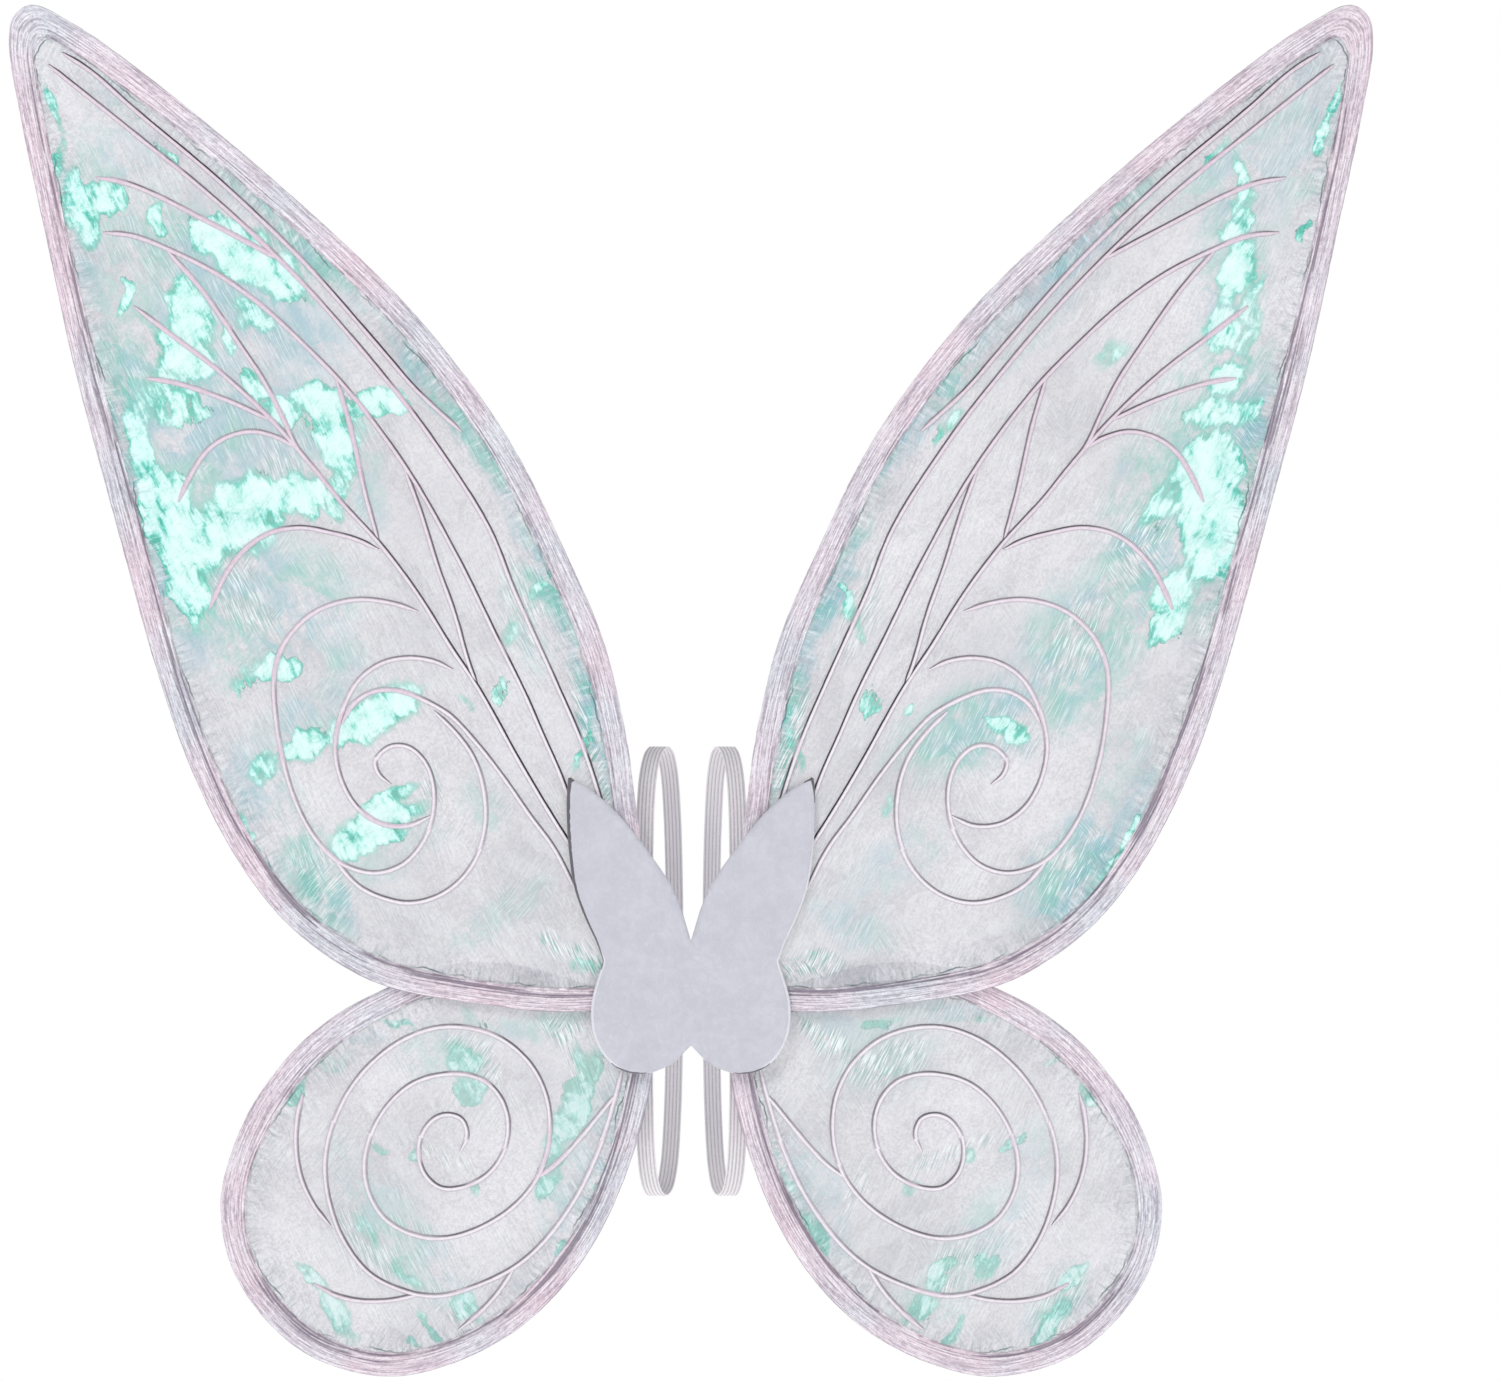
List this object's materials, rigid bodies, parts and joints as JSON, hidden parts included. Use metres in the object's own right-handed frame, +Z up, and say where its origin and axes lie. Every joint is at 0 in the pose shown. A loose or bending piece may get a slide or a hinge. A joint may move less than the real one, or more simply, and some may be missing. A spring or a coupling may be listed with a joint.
{
  "type": "costume fairy wings",
  "caption": "Costume fairy wings: wire-edged iridescent film wings on a felt hub that folds, worn on the back by elastic arm loops.",
  "frame": {"origin": "centre of the outer face of the small felt patch that lies against the wearer's back", "axes": "+X to the wearer's right, +Y towards the wearer's back, +Z up"},
  "size_m": [0.796, 0.0891, 0.8015],
  "materials": {
    "felt": "matte brushed felt",
    "film": "crinkled translucent iridescent film, mint reflections",
    "binding": "gathered thin knit, lengthwise ridges",
    "vein": "raised bonded cord",
    "wire": "drawn spring wire",
    "elastic": "ribbed elastic",
    "sleeve": "woven tape",
    "hook_tape": "hook tape",
    "loop_tape": "loop tape"
  },
  "bodies": {
    "hub": {"back_patch": "felt", "back_panel": "felt", "spine_felt": "felt", "cover_centre": "felt", "left_strap_end_top": "elastic", "left_strap_end_bottom": "elastic", "right_strap_end_top": "elastic", "right_strap_end_bottom": "elastic"},
    "left_wings": {"left_sleeve_leaf": "felt", "left_hook_pad": "hook_tape", "left_sleeve_upper_front": "sleeve", "left_sleeve_upper_rear": "sleeve", "left_sleeve_lower_front": "sleeve", "left_sleeve_lower_rear": "sleeve", "left_upper_wire": "wire", "left_upper_binding_front": "binding", "left_upper_binding_rear": "binding", "left_upper_film": "film", "left_upper_leading_rib": "vein", "left_upper_front_rib": "vein", "left_upper_branch_ribs": "vein", "left_upper_scroll": "vein", "left_lower_wire": "wire", "left_lower_binding_front": "binding", "left_lower_binding_rear": "binding", "left_lower_film": "film", "left_lower_scroll": "vein", "left_lower_arc": "vein"},
    "left_cover": {"left_cover": "felt", "left_loop_pad": "loop_tape"},
    "left_strap": {"left_strap_loop": "elastic"},
    "right_wings": {"right_sleeve_leaf": "felt", "right_hook_pad": "hook_tape", "right_sleeve_upper_front": "sleeve", "right_sleeve_upper_rear": "sleeve", "right_sleeve_lower_front": "sleeve", "right_sleeve_lower_rear": "sleeve", "right_upper_wire": "wire", "right_upper_binding_front": "binding", "right_upper_binding_rear": "binding", "right_upper_film": "film", "right_upper_leading_rib": "vein", "right_upper_front_rib": "vein", "right_upper_branch_ribs": "vein", "right_upper_scroll": "vein", "right_lower_wire": "wire", "right_lower_binding_front": "binding", "right_lower_binding_rear": "binding", "right_lower_film": "film", "right_lower_scroll": "vein", "right_lower_arc": "vein"},
    "right_cover": {"right_cover": "felt", "right_loop_pad": "loop_tape"},
    "right_strap": {"right_strap_loop": "elastic"}
  },
  "joints": [
    {"name": "left_wing_fold", "type": "hinge", "parent": "hub", "child": "left_wings", "pos_m": [-0.01, -0.0175, 0], "axis": [0, 0, 1], "range_deg": [0, 80]},
    {"name": "left_cover_peel", "type": "hinge", "parent": "left_wings", "child": "left_cover", "pos_m": [-0.01, -0.0175, 0], "axis": [0, 0, -1], "range_deg": [-85, 0]},
    {"name": "left_strap_swing", "type": "hinge", "parent": "hub", "child": "left_strap", "pos_m": [-0.0275, -0.0007, 0], "axis": [0, 0, 1], "range_deg": [-3, 45]},
    {"name": "right_wing_fold", "type": "hinge", "parent": "hub", "child": "right_wings", "pos_m": [0.01, -0.0175, 0], "axis": [0, 0, -1], "range_deg": [0, 80]},
    {"name": "right_cover_peel", "type": "hinge", "parent": "right_wings", "child": "right_cover", "pos_m": [0.01, -0.0175, 0], "axis": [0, 0, 1], "range_deg": [-85, 0]},
    {"name": "right_strap_swing", "type": "hinge", "parent": "hub", "child": "right_strap", "pos_m": [0.0275, -0.0007, 0], "axis": [0, 0, -1], "range_deg": [-3, 45]}
  ]
}
